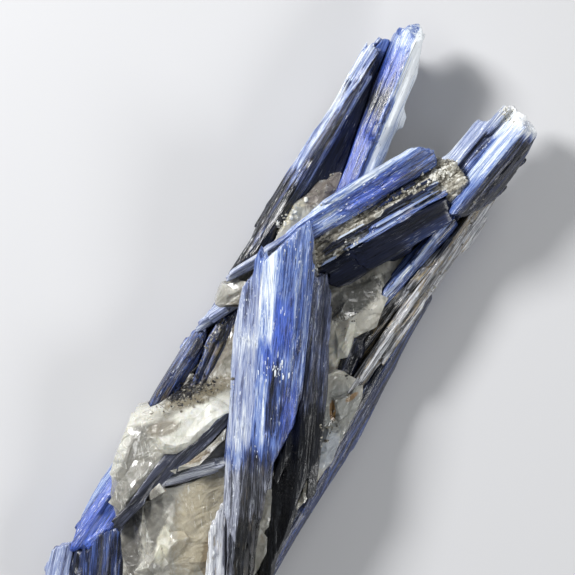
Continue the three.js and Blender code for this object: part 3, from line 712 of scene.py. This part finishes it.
# Each crystal's slot, a point on it, heading, tone and spread of tones; then its zones (lift, across,
# along, softness), vivid patches (across, along), dull patches (amount, across, along), stains,
# roughness, and how it is made. Strips are in millimetres to the left of that point and along from it.
BLADES = {
    "broad_front_blade": dict(
        slot="vivid_kyanite", at=(84, 8.3, 27), heading=27, tone=0.545, spread=1.15,
        zones=(
            (0.10, (0.2, 12), (-34, 40), 0.5),
            (0.22, (0.2, 3.9), (-9, 14), 0.5),
            (-0.14, (4.2, 7.6), (-8, 3), 0.6),
            (0.16, (0.4, 8.5), (-11, -7.5), 0.8),
            (-0.24, (0.3, 2.4), (-17, -11), 0.5),
            (-0.28, (-3, 0.6), (-30, -15), 0.6),
            (-0.26, (-8, -3), (-44, -18), 0.9),
            (0.14, (4.8, 7.4), (-38, -24), 0.5),
            (-0.26, (-8, 5), (-80, -34), 1.2),
            (-0.30, (-8, 5), (-80, -50), 0.5),
            (-0.08, (1, 8), (-80, -26), 1.2),
        ),
        vivid=(((-4, 0.4), (-12, 0)), ((0.2, 2.6), (-16, -10)), ((-6, -3), (-32, -20))),
        dull=((0.35, (3.6, 12), (-34, 4)), (0.7, (-9, 12), (-90, -38))), stains=0.15,
        make=dict(
            laths=0.35, steps=0.5, reach=(0.2, 0.5),
            slabs=(
                (-8.5, 40, 0.3, 9, 0.45),
                (2.5, 40, -9, 0.2, 0.22),
                (-13, 6, -2.6, -1.0, 0.25),
                (-38, -22, 4.9, 7.6, 0.25),
                (-50, -30, -2.4, 3.4, 0.45),
                (-60, -20, 1.2, 2.4, 0.35),
                (-24, -6, -6.0, -4.2, 0.22),
            ),
        ),
    ),
    "dark_side_blade": dict(
        slot="navy_kyanite", at=(70, -10, 22), heading=27, tone=0.24, spread=1.0,
        zones=((0.10, None, (4, 40), 1.0), (-0.46, None, (-70, -4), 1.0), (-0.1, (-0.4, 0.6), None, 0.3)),
        dull=((0.35, None, None),), make=dict(laths=0.4, steps=0.7),
    ),
    "upper_cross_blade": dict(
        slot="vivid_kyanite", at=(110.4, 6.8, 21), heading=-25.4, tone=0.46,
        zones=(
            (0.30, (1.6, 4.6), (-16, 40), 0.5),
            (0.26, (-2.4, 0.4), (-9, -2), 0.5),
            (-0.08, (-4, 1.2), (0, 20), 0.8),
            (0.16, None, (-60, -19), 0.8),
        ),
        vivid=(((-3, 1), (0, 14)),), dull=((0.45, None, (-60, -17)),), stains=0.2,
        make=dict(laths=0.5, steps=0.7, cuts=((-26, -0.9, (-0.12, -1, 0)), (-31.6, 0.2, (-1, 0.6, 0)))),
    ),
    "lower_cross_blade": dict(
        slot="navy_kyanite", at=(109, -6.2, 19), heading=-28.2, tone=0.07, spread=0.4,
        zones=((0.44, (2.9, 4), None, 0.3), (0.20, (-5, -1.5), (2, 20), 1.0)), rough=0.4,
        make=dict(laths=0.15, steps=0.25, slabs=((-6.5, 40, -5, 2.9, 0.5), (-20, 40, 2.6, 5, 0.3))),
    ),
    "seam_lath": dict(
        slot="pale_kyanite", at=(109, -3.4, 19), heading=-28.2, tone=0.55, spread=1.5, stains=0.7
    ),
    "pale_left_horn": dict(
        slot="pale_kyanite", at=(133.8, 9.6, 18), heading=8.8, tone=0.40,
        zones=(
            (0.62, (-6, -0.7), (-30, 40), 0.6),
            (0.45, (-0.9, 0.6), (3, 40), 0.4),
            (-0.30, (1.0, 9), (-40, 10), 0.6),
            (-0.12, (0.9, 9), (-1, 10), 0.8),
            (0.30, None, (13.5, 24), 0.8),
        ),
        spread=1.3, vivid=(((0.6, 5), (-30, -4)), ((0.6, 5), (5, 13))), stains=0.05,
        make=dict(
            slide=0.05, steps=0.28, laths=0.12, reach=(0.3, 1.3),
            slabs=((-40, 9, -3.4, -1.6, 0.3), (-6, 14, 0.4, 3.0, 0.3), (-7, -2.5, -4.2, 1.6, 0.7)),
        ),
    ),
    "dark_left_horn": dict(
        slot="navy_kyanite", at=(128, 17, 12), heading=6, tone=0.22, spread=0.4,
        zones=(
            (0.34, (-6, 6), (14, 40), 1.2),
            (0.08, (1.4, 6), None, 0.8),
            (-0.12, (-6, 1), (-40, -4), 1.0),
        ),
        rough=0.6, make=dict(laths=0.25, steps=0.35),
    ),
    "pale_right_horn": dict(
        slot="pale_kyanite", at=(136.3, -16, 18), heading=-8, tone=0.70,
        zones=(
            (0.16, (-0.6, 3.2), None, 0.6),
            # painted shade: the right facet, which faces away from the light, is sunk darker
            (-0.60, (-9, -2.0), (-30, 9), 0.7),
            (-0.46, (2.0, 4.8), (-30, 5), 0.5),
            (-0.28, (-2, 3), (-30, -6), 0.8),
            (0.26, (-9, 9), (9, 18), 1.0),
        ),
        spread=1.25, dull=((0.3, (3, 9), None), (0.6, None, (10, 20))), rough=0.7,
        make=dict(laths=0.6, steps=0.8, slabs=((-30, 7, 0.2, 2.2, 0.3), (-4, 30, -1.8, 0.4, 0.35))),
    ),
    "left_edge_blade": dict(
        slot="vivid_kyanite", at=(110, 18.6, 14), heading=0, tone=0.40, spread=1.6,
        zones=(
            (0.30, (1.2, 9), (2, 60), 0.5),
            (-0.38, (-6, 9), (-60, -2), 0.8),
            (0.12, None, (18, 60), 1.0),
        ),
        dull=((0.2, None, None),), stains=0.2, rough=0.6, make=dict(laths=0.6, steps=0.9),
    ),
    "pale_wedge_lath": dict(
        slot="pale_kyanite", at=(76, 17.4, 14), heading=-26, tone=0.60, spread=1.3,
        dull=((0.35, None, None),),
    ),
    "left_lower_blade": dict(
        slot="navy_kyanite", at=(60, 19.2, 13), heading=0, tone=0.36, spread=1.4, stains=0.5
    ),
    "left_inner_blade": dict(
        slot="navy_kyanite", at=(67, 14.8, 13), heading=8, tone=0.30, spread=1.4, stains=0.8
    ),
    "right_edge_blade": dict(
        slot="navy_kyanite", at=(70, -21, 10), heading=2, tone=0.26, spread=1.1, make=dict(laths=0.35)
    ),
    "pale_edge_lath": dict(
        slot="pale_kyanite", at=(104, -19, 12), heading=-3, tone=0.36, spread=1.7,
        zones=(
            (-0.20, (-9, 9), (-70, -34), 1.0),
            (-0.18, (0.8, 9), None, 0.6),
            (0.16, (-9, -1), None, 0.5),
        ),
        dull=((0.9, None, (-36, 60)),), stains=1.2, make=dict(laths=0.5, steps=0.8),
    ),
    "streaked_inner_lath": dict(
        slot="slate_kyanite", at=(106, -13.4, 13), heading=-9, tone=0.36, spread=1.6,
        zones=((0.4, (-0.4, 0.5), None, 0.3),),
    ),
    "brown_inner_lath": dict(
        slot="granular_quartz", at=(104, -16, 12), heading=-6, tone=0.17, spread=1.6,
        dull=((0.85, None, None),), stains=1.0, make=dict(laths=0.8, steps=1.0),
    ),
    "black_stub_lath": dict(slot="navy_kyanite", at=(80, -13, 12), heading=12, tone=0.08, spread=0.7),
    "bent_dark_lath": dict(
        slot="navy_kyanite", at=(36, 10, 19), heading=-14, tone=0.22, spread=0.6,
        dull=((0.5, None, None),), rough=0.7, make=dict(laths=0.2, steps=0.3, slide=0.2),
    ),
    "blue_stray_lath": dict(
        slot="slate_kyanite", at=(40, 4.6, 17), heading=-44, tone=0.56, spread=1.8,
        dull=((0.7, None, None),), make=dict(laths=1.2, steps=0.5, slide=0.8),
    ),
    "blue_foot_blade": dict(
        slot="vivid_kyanite", at=(22, 17, 12), heading=-3, tone=0.47, zones=((0.3, (3.4, 8), None, 0.6),),
        vivid=(((-6, 3), (-20, 16)),),
    ),
    "purple_foot_blade": dict(
        slot="navy_kyanite", at=(10, 10, 13), heading=27, tone=0.19, spread=1.3,
        zones=((0.34, None, (10, 18), 1.0),), make=dict(laths=0.7, steps=1.0),
    ),
    "pale_foot_blade": dict(
        slot="pale_kyanite", at=(4, 16, 11), heading=20, tone=0.65, spread=1.3, dull=((0.3, None, None),)
    ),
    "pale_flake_lath": dict(
        slot="pale_kyanite", at=(28, -10, 18), heading=29, tone=0.72, spread=1.3,
        dull=((0.8, None, None),), stains=0.8,
    ),
    "back_left_blade": dict(
        slot="slate_kyanite", at=(60, 13, 3), heading=1.5, tone=0.42, spread=1.3, stains=0.5
    ),
    "back_middle_blade": dict(slot="vivid_kyanite", at=(50, 0, 3), heading=-2.5, tone=0.48, spread=1.3),
    "back_right_blade": dict(
        slot="slate_kyanite", at=(70, -14.6, 3), heading=0, tone=0.36, spread=1.3, stains=0.5
    ),
}


def trimmed(piece, at, heading, cuts):
    """Take away what lies beyond each cut: a point along and across the blade, and the way it faces."""
    middle = Matrix.Rotation(radians(-heading), 3, "Z") @ place(*at)
    breaks = []
    for along, across, facing in cuts:
        breaks.append(((middle.x + along * MM, middle.y + across * MM, 0), facing))
    broken_off(piece, breaks)


def split_blade(
    node_name, at, heading, slide=0.9, steps=0.6, laths=0.5, reach=(0.3, 1.1), slabs=(), cuts=(), seed=0
):
    """A crystal as a bundle of split laths: stepped along its faces and splintered at its ends."""
    rng = random.Random(seed)
    piece = copy_of(node_name)
    piece.name = node_name.replace("_blade", "_laths").replace("_horn", "_horn_laths")
    turned(piece, -heading)
    trimmed(piece, at, heading, cuts)
    long_side = piece.dimensions.x / MM
    runs = (long_side * 0.12, long_side * 0.45)
    made = lay_slabs(piece, at, heading, slabs)
    for side, share in (("+z", 1.0), ("+y", 0.5), ("-y", 0.5), ("-z", 0.5)):
        count = int(laths * long_side * 0.45 * share)
        made += scatter_laths(piece, rng, count, side, runs, (0.7, 3.0), (0.06, 0.26))
    made += splinter_ends(piece, rng, int(16 * laths), reach)
    if made:
        joined(piece, made)
    settled(piece)
    drawn_out(piece, 1 / SQUEEZE)
    remeshed(piece, FIRST_SKIN)
    pushed(piece, lath_cells, (400, 1.4, 1.0), slide / SQUEEZE, along="X", seed=(0, seed, 3))
    remeshed(piece, FINE_SKIN)
    drawn_out(piece, SQUEEZE)
    pushed(piece, lath_cells, (70, 1.9, 1.9), 0.5 * steps, seed=(seed, 5, 2))
    pushed(piece, lath_cells, (45, 0.8, 0.8), 0.24 * steps, seed=(seed, 1, 8))
    pushed(piece, fibre_noise, (40, 0.5, 0.5), 0.16 * steps, seed=(seed, 4, 4))
    turned(piece, heading)
    bpy.ops.object.shade_smooth_by_angle(angle=radians(FIBRE_EDGE))
    return piece


def grow_blades():
    """Every blade, lath and horn, each in place of its plain solid."""
    for i, (node_name, look) in enumerate(BLADES.items()):
        look = dict(look)
        slot = look.pop("slot")
        make = look.pop("make", {})
        piece = split_blade(node_name, look["at"], look["heading"], seed=17 * i + 3, **make)
        piece.data.materials.append(kyanite(node_name + "_finish", seed=i * 3.7, **look))
        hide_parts(node_name)
        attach(piece, "root")


def chipped(piece, share, cuts):
    """Break a dense skin into flat facets, then give each facet room for finer detail."""
    modified(piece, "DECIMATE", ratio=share)
    bpy.ops.object.mode_set(mode="EDIT")
    bpy.ops.mesh.select_all(action="SELECT")
    bpy.ops.mesh.subdivide(number_cuts=cuts)
    bpy.ops.object.mode_set(mode="OBJECT")


def cut_ridge():
    """A roof-shaped splinter of quartz, steeper on its right."""
    breaks = (
        ((0, -0.12, 0.5), (0.05, 0.8, 1)),
        ((0, -0.12, 0.5), (-0.05, -1.6, 1)),
        ((0.42, 0, 0), (1, 0.4, 0.6)),
        ((-0.42, 0, 0), (-1, 0.5, 0.7)),
    )
    return cut_block("ridge", breaks)


# blunt lumps of quartz: middle, heading, length, width and height
QUARTZ_LUMPS = [
    ((47, 18), -10, 8, 4, 1.0),
    ((71, -16.2), 20, 7, 4.5, 2.2),
    ((64, -18), 0, 6, 4, 2.2),
    ((57, -19), 10, 7, 3.5, 2.0),
    ((50, -20), 5, 6, 3, 1.6),
    ((84, -9), 25, 9, 4, 1.6),
    ((90, -6), -20, 6, 3, 1.4),
    ((55, 11), -35, 10, 2.6, 1.2),
    ((111, 12), -20, 6, 4, 1.5),
    ((103, 15.6), -10, 5, 2.4, 1.6),
]
# sharp ridges and chips of quartz: middle, heading, length, width and height
QUARTZ_RIDGES = [
    ((33.5, 14.4), -4, 18, 4.4, 1.5),
    ((43.4, 11.4), 117, 6.5, 3.0, 1.5),
    ((51, 8.2), -18, 14, 4.0, 1.4),
    ((38, 19.6), 11, 15, 4.0, 1.6),
    ((28.6, 2.8), 39, 9, 4.0, 0.9),
    ((24.4, 0.3), -6, 6.5, 5.0, 2.4),
    ((18.4, 1.2), 170, 8, 3.6, 1.8),
    ((23, 7.0), 38, 16, 2.4, 1.2),
    ((28, -7.6), 16, 9, 4.0, 1.2),
    ((36, -6), 30, 8, 4.0, 0.9),
    ((14, 8), 30, 8, 4.0, 1.2),
    ((12, -2), 20, 9, 5.0, 1.6),
    ((87, -8), 10, 9, 4.0, 1.4),
    ((80, 18.4), -20, 5, 3.0, 1.0),
]


def set_on(piece, pattern, shapes):
    """Copies of a pattern standing half sunk in the top of a piece."""
    skin = skin_of(piece)
    made = []
    for (u, v), heading, length, width, height in shapes:
        hit, *_ = skin.ray_cast(place(u, v, ABOVE), Vector((0, 0, -1)))
        if hit is None:
            continue
        lump = another(pattern)
        lump.location = hit
        lump.scale = Vector((length, width, 2 * height)) * MM
        lump.rotation_euler = (0, 0, radians(heading))
        made.append(lump)
    return made


def break_quartz():
    """The quartz: lumps and ridges under one skin, broken into shell-like faces."""
    piece = copy_of("quartz_matrix")
    piece.name = "broken_quartz"
    joined(piece, set_on(piece, crumb, QUARTZ_LUMPS) + set_on(piece, ridge, QUARTZ_RIDGES))
    remeshed(piece, QUARTZ_SKIN)
    swollen(piece, GROWN_TOGETHER)
    pushed(piece, rough_noise, (10, 10, 10), 1.6, seed=(3, 4, 5))
    chipped(piece, 0.012, 5)
    pushed(piece, shell_cells, (5, 4, 4), 0.5, seed=(6, 2, 1))
    pushed(piece, rough_noise, (1.4, 1.4, 1.4), 0.09, seed=(7, 4, 1))
    bpy.ops.object.shade_smooth_by_angle(angle=radians(SHELL_EDGE))
    piece.data.materials.append(quartz("quartz_finish"))
    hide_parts("quartz_matrix")
    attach(piece, "root")


def crumble_seam():
    """The sandy seam between the two cross blades, crumbly and drawn out along them."""
    piece = copy_of("granular_seam")
    piece.name = "crumbled_seam"
    remeshed(piece, SEAM_SKIN)
    swollen(piece, GROWN_TOGETHER)
    turned(piece, SEAM_TURN)
    pushed(piece, rough_noise, (9, 1.4, 2), 1.6, seed=(3, 4, 5))
    pushed(piece, facet_cells, (7.0, 0.7, 0.9), 0.7, seed=(3, 4, 5))
    pushed(piece, facet_cells, (1.3, 0.6, 0.6), 0.22, seed=(1, 2, 9))
    turned(piece, -SEAM_TURN)
    bpy.ops.object.shade_smooth_by_angle(angle=radians(FIBRE_EDGE))
    piece.data.materials.append(sandy("sandy_finish", -0.05))
    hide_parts("granular_seam")
    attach(piece, "root")


# ---- Crumbs and splinters -------------------------------------------------------------------


def cut_crumb():
    """An angular grain, one unit across."""
    bpy.ops.object.select_all(action="DESELECT")
    bpy.ops.mesh.primitive_ico_sphere_add(subdivisions=1, radius=0.55, location=(0, 0, 0))
    crumb = bpy.context.object
    crumb.name = "crumb"
    breaks = (
        ((0.3, 0, 0), (1, 0.2, 0.3)),
        ((0, 0.25, 0), (-0.3, 1, 0.1)),
        ((0, 0, 0.3), (0.2, -0.3, 1)),
    )
    broken_off(crumb, breaks)
    crumb.location = ASIDE
    return crumb


def top_of(points):
    """Where the cluster's upper surface lies at some plan points, with its normals."""
    graph = bpy.context.evaluated_depsgraph_get()
    found = []
    for u, v in points:
        hit, at, normal, *_ = bpy.context.scene.ray_cast(graph, place(u, v, ABOVE), Vector((0, 0, -1)))
        found.append((at, normal) if hit else None)
    return found


def as_piece(name, copies, finish):
    """Many copies as one named piece with its finish."""
    piece = joined(copies[0], copies[1:])
    piece.name = name
    settled(piece)
    piece.data.materials.clear()
    piece.data.materials.append(finish)
    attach(piece, "root")


# spots of loose grains: middle, heading, half length, half width, count, and size from and to
CREAM_SPOTS = [
    ((127, -8), -28, 3.5, 2.5, 70, 0.4, 1.5),
    ((148, -12.5), 60, 5.0, 1.2, 80, 0.3, 1.0),
    ((130, -8.2), -8, 3.0, 1.2, 20, 0.3, 1.0),
    ((104, 1.2), -28, 4.0, 0.9, 16, 0.6, 1.8),
    ((95, 4.6), -28, 2.0, 0.8, 10, 0.4, 1.0),
    ((102, 16), -12, 5.0, 1.2, 30, 0.4, 1.5),
    ((120, -3.4), -28, 3.0, 1.2, 16, 0.4, 1.2),
    ((73, 16), -20, 4.0, 1.2, 8, 0.3, 0.7),
    ((47, 20), 0, 2.0, 1.0, 6, 0.5, 1.2),
]
TAN_SPOTS = [
    ((113, 0.4), -28, 9.0, 1.6, 90, 0.3, 0.9),
    ((110, 12.5), 0, 6.0, 2.5, 30, 0.3, 1.0),
    ((66, 16.4), 0, 9.0, 1.2, 60, 0.3, 0.8),
    ((57, 12.6), -35, 9.0, 2.2, 90, 0.25, 1.0),
    ((104, -20), -5, 14, 1.2, 40, 0.25, 0.8),
    ((66, -17), 10, 7.0, 2.5, 30, 0.3, 1.1),
    ((122, -19), -8, 8.0, 1.5, 24, 0.3, 0.9),
]
DARK_SPOTS = [
    ((56.5, 14.6), -30, 6.0, 2.6, 150, 0.3, 1.1),
    ((52, -14.6), 20, 9.0, 2.5, 70, 0.3, 1.1),
    ((90, -8), -28, 6.0, 1.6, 16, 0.3, 0.8),
    ((79, -13.5), 12, 3.0, 1.2, 24, 0.3, 0.9),
]


def scatter_crumbs(name, spots, finish, seed, flat=False):
    """Grains lying half sunk in the surface around each spot. Flat ones follow the spot's heading."""
    rng = random.Random(seed)
    plan = []
    for (u, v), heading, long, wide, count, small, big in spots:
        for _ in range(count):
            along, across = rng.gauss(0, long / 2), rng.gauss(0, wide / 2)
            point = on_blade((u, v, 0), heading, along, across)[:2]
            plan.append((point, radians(heading), small + (big - small) * rng.random() ** 2))
    copies = []
    for found, (_, heading, size) in zip(top_of([point for point, _, _ in plan]), plan):
        turn = (0, 0, heading) if flat else [rng.uniform(0, FULL_TURN) for _ in range(3)]
        long = rng.uniform(1.5, 4.0) if flat else rng.uniform(0.7, 1.4)
        stretch = (long, rng.uniform(0.6, 1.1), rng.uniform(0.5, 0.8))
        if found is None:
            continue
        copy = another(crumb)
        copy.location = found[0]
        copy.rotation_euler = turn
        copy.scale = Vector(stretch) * size * MM
        copies.append(copy)
    as_piece(name, copies, finish)


# splinters lying on the surface: middle, heading, length, width and height
PALE_SPLINTERS = [
    ((108, -2.2), -28, 12, 0.5, 0.35),
    ((118, -6.2), -28, 14, 0.45, 0.35),
    ((103, 1.0), -28, 6, 1.3, 0.5),
    ((113, -3.4), -29, 7, 0.7, 0.4),
    ((121, -7.0), -27, 6, 0.6, 0.5),
    ((98, 3.0), -30, 5, 0.6, 0.4),
    ((111, -1.0), -27, 8, 0.35, 0.4),
    ((116, -3.6), -30, 6, 0.4, 0.5),
    ((124.5, -8.0), -24, 4, 0.9, 0.5),
    ((106, 2.4), -29, 7, 0.4, 0.4),
]
DARK_SPLINTERS = [
    ((119, -4.6), -27, 14, 0.9, 0.35),
    ((122, -6.6), -29, 9, 0.6, 0.45),
    ((104, 3.0), -28, 12, 0.9, 0.35),
    ((110, -0.6), -28, 9, 0.6, 0.35),
    ((113, -2.4), -27, 10, 0.5, 0.40),
    ((117, -1.6), -29, 9, 0.7, 0.5),
    ((120, -2.6), -26, 7, 0.8, 0.5),
    ((107, 0.8), -28, 7, 0.5, 0.45),
    ((124, -6.0), -30, 5, 0.6, 0.6),
    ((101, 3.4), -27, 6, 0.6, 0.45),
]


def strew_splinters(name, splinters, finish):
    """Loose laths lying level on the surface, sunk in it but for their height."""
    copies = []
    up = Vector((0, 0, 1))
    places = top_of([middle for middle, *_ in splinters])
    for i, (found, (_, heading, length, width, proud)) in enumerate(zip(places, splinters)):
        if found:
            copies.append(lay_lath(i % len(loose_laths), found[0], up, heading, length, width, proud))
    as_piece(name, copies, finish)


# spots of bright flakes on the blades' faces, written as the grains' spots are
FLECK_SPOTS = [
    ((70.5, 0.5), 27, 2.4, 3.0, 30, 0.2, 0.6),
    ((58, 2), 27, 16, 6.0, 30, 0.15, 0.35),
    ((78, 10), 27, 8, 6.0, 40, 0.15, 0.4),
    ((94, 12), 27, 6, 5.0, 20, 0.15, 0.3),
    ((110, 7), -25, 12, 3.0, 30, 0.15, 0.35),
    ((140, -15), -8, 8, 3.0, 30, 0.15, 0.4),
    ((138, 9), 9, 12, 3.0, 30, 0.15, 0.4),
]


def strew_debris():
    """Splinters, grains and flakes that lie loose on the cluster."""
    pale = kyanite("pale_splinter_finish", (108, -2, 18), -28, 0.78, spread=0.8, stains=0.3)
    dark = kyanite("dark_splinter_finish", (112, -2, 18), -28, 0.16, spread=0.8)
    strew_splinters("pale_splinters", PALE_SPLINTERS, pale)
    strew_splinters("dark_splinters", DARK_SPLINTERS, dark)
    scatter_crumbs("tan_crumbs", TAN_SPOTS, sandy("tan_crumb_finish"), 5)
    scatter_crumbs("cream_crumbs", CREAM_SPOTS, sandy("cream_crumb_finish", -0.28), 8)
    flecks = kyanite("white_fleck_finish", (90, 5, 25), 27, 1.0, spread=0.5)
    scatter_crumbs("white_flecks", FLECK_SPOTS, flecks, 4, flat=True)
    scatter_crumbs("dark_crumbs", DARK_SPOTS, sandy("dark_crumb_finish", 0.42), 3)


# ---- Floor, light and camera ----------------------------------------------------------------


def lay_floor():
    """A plain pale floor under the lowest point."""
    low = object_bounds()[0].z
    bpy.ops.object.select_all(action="DESELECT")
    bpy.ops.mesh.primitive_plane_add(size=3.0, location=(0, 0, low))
    floor = bpy.context.object
    floor.name = "studio_floor"
    bpy.ops.object.transform_apply(location=True)
    r = Recipe("floor_finish")
    r.settle(Base_Color=(0.62, 0.62, 0.63, 1), Roughness=0.8)
    floor.data.materials.append(r.material)


def hang_light(name, at, size, watts):
    """A soft round lamp that faces the middle of the cluster. Metres and watts."""
    lamp = bpy.data.lights.new(name, "AREA")
    lamp.shape = "DISK"
    lamp.size = size
    lamp.energy = watts
    holder = bpy.data.objects.new(name, lamp)
    bpy.context.scene.collection.objects.link(holder)
    holder.location = at
    aim = Vector((0, 0, 0.01)) - Vector(at)
    holder.rotation_euler = aim.to_track_quat("-Z", "Y").to_euler()


def light_studio():
    """The main light from the left, a weak one from the right, one from the horns, and a pale room."""
    hang_light("left_window", (0.05, 0.50, 0.42), 0.18, 4.8)
    hang_light("right_window", (-0.05, -0.50, 0.38), 0.22, 1.5)
    hang_light("head_window", (0.60, 0.05, 0.35), 0.25, 1.0)
    world = bpy.data.worlds.new("studio_room")
    world.use_nodes = True
    air = world.node_tree.nodes["Background"]
    air.inputs["Color"].default_value = (0.9, 0.95, 1.0, 1)
    air.inputs["Strength"].default_value = 0.20
    bpy.context.scene.world = world
    bpy.context.scene.view_settings.view_transform = "Standard"


def set_camera():
    """Straight above, with the horns to the upper right: so far above the cluster's middle height."""
    lens = bpy.data.cameras.new("camera")
    lens.lens = 200
    lens.sensor_width = 36
    lens.clip_start = 0.05
    holder = bpy.data.objects.new("camera", lens)
    bpy.context.scene.collection.objects.link(holder)
    up = Vector((0.8517, 0.5240, 0))
    right = Vector((up.y, -up.x, 0))
    turn = Matrix((right, up, (0, 0, 1))).transposed().to_4x4()
    middle_height, distance = 15, 726
    holder.matrix_world = Matrix.Translation(place(87.66, 7.93, middle_height + distance)) @ turn
    bpy.context.scene.camera = holder


def clear_bench():
    """The loose laths, the crumb and the ridge were only patterns for their copies."""
    bpy.ops.object.select_all(action="DESELECT")
    for pattern in [*loose_laths, crumb, ridge]:
        pattern.select_set(True)
    bpy.ops.object.delete()


crumb = cut_crumb()
ridge = cut_ridge()

grow_blades()
break_quartz()
crumble_seam()
strew_debris()
clear_bench()
lay_floor()
light_studio()
set_camera()
